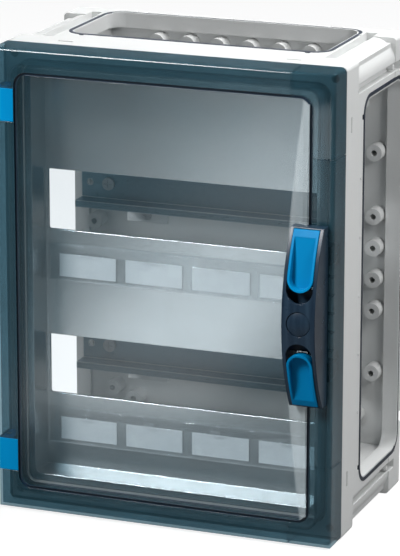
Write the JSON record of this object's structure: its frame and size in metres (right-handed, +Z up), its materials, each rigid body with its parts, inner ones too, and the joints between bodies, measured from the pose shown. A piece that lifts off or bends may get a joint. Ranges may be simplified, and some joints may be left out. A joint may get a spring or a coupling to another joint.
{
  "type": "din rail enclosure",
  "caption": "Modular wall enclosure with open side walls, a hinged clear tinted door with a bow handle, a protection cover with device slots, and top-hat rails behind it.",
  "frame": {"origin": "centre of the rear mounting face", "axes": "+Y into the wall, +Z up, +X to the right as seen from the front; the door faces -Y"},
  "size_m": [0.27, 0.192, 0.36],
  "materials": {
    "body": "fine moulded polycarbonate",
    "seal": "soft matt",
    "cover": "fine moulded",
    "clear_strip": "clear, polished",
    "label_card": "smooth card",
    "rail": "zinc plated",
    "bracket": "moulded",
    "screw": "zinc plated",
    "door": "clear, tinted, polished",
    "corner": "clear, tinted, polished",
    "blue": "satin moulded",
    "pin": "drawn",
    "handle": "dark, translucent, polished",
    "spring": "drawn wire",
    "bolt": "moulded"
  },
  "bodies": {
    "body": {"enclosure_base": "body", "seal_top": "seal", "seal_bottom": "seal", "seal_left": "seal", "seal_right": "seal", "protection_cover": "cover", "label_strip_upper": "clear_strip", "label_strip_lower": "clear_strip", "label_card_1": "label_card", "label_card_2": "label_card", "label_card_3": "label_card", "label_card_4": "label_card", "label_card_5": "label_card", "label_card_6": "label_card", "label_card_7": "label_card", "label_card_8": "label_card", "din_rail_upper": "rail", "din_rail_lower": "rail", "rail_bracket_1": "bracket", "rail_bracket_2": "bracket", "rail_bracket_3": "bracket", "rail_bracket_4": "bracket", "rail_screws": "screw", "bracket_screws": "screw"},
    "door": {"door_panel": "door", "door_seal": "seal", "corner_cover_top": "corner", "corner_cover_bottom": "corner", "hinge_block_upper": "blue", "hinge_block_lower": "blue", "hinge_pin_upper": "pin", "hinge_pin_lower": "pin", "door_handle": "handle", "handle_cap": "handle", "handle_screws": "screw", "latch_spring_upper": "spring", "latch_spring_lower": "spring"},
    "latch_upper": {"latch_slider_upper": "blue", "latch_bolt_upper": "bolt"},
    "latch_lower": {"latch_slider_lower": "blue", "latch_bolt_lower": "bolt"}
  },
  "joints": [
    {"name": "door_hinge", "type": "hinge", "parent": "body", "child": "door", "pos_m": [-0.13, -0.151, 0], "axis": [0, 0, -1], "range_deg": [0, 115]},
    {"name": "latch_upper_slide", "type": "slide", "parent": "door", "child": "latch_upper", "axis": [0, 0, -1], "range_m": [0, 0.008], "stiffness_N_per_m": 400, "springref_m": -0.004, "deforming": ["latch_spring_upper"]},
    {"name": "latch_lower_slide", "type": "slide", "parent": "door", "child": "latch_lower", "axis": [0, 0, 1], "range_m": [0, 0.008], "stiffness_N_per_m": 400, "springref_m": -0.004, "deforming": ["latch_spring_lower"]}
  ]
}
